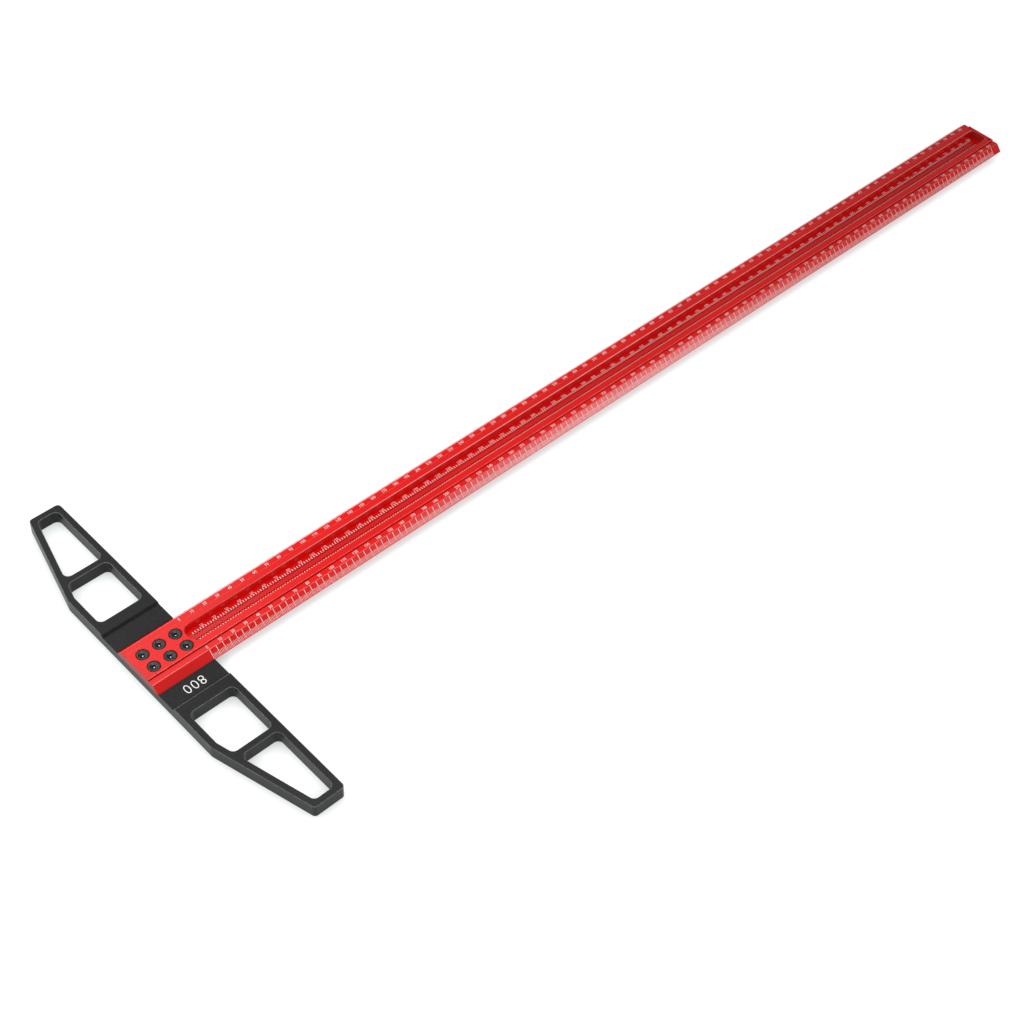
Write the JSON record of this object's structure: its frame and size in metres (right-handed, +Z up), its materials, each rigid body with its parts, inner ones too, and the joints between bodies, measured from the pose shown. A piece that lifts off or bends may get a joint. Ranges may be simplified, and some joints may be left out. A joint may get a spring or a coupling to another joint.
{
  "type": "drafting t square",
  "caption": "Drafting T-square: bevelled millimetre scale blade with a milled channel, screwed into a flat cross head with cut-out wings.",
  "frame": {"origin": "middle of the bounding box's base: on the blade's middle line, at half of the tool's length, in the plane of the head's underside", "axes": "+X along the blade from the head to the blade's free end, +Y along the head, +Z up out of the scale side"},
  "size_m": [0.852, 0.302, 0.014],
  "materials": {
    "black_anodised": "fine bead-blasted black anodised, satin",
    "red_anodised": "satin red anodised with white engraved scale",
    "black_steel": "black oxide steel",
    "white_infill": "matt white paint filled into the engraved lines and figures"
  },
  "bodies": {
    "root": {"head": "black_anodised", "blade": "red_anodised", "screw_1": "black_steel", "screw_2": "black_steel", "screw_3": "black_steel", "screw_4": "black_steel", "screw_5": "black_steel", "screw_6": "black_steel"}
  },
  "joints": []
}
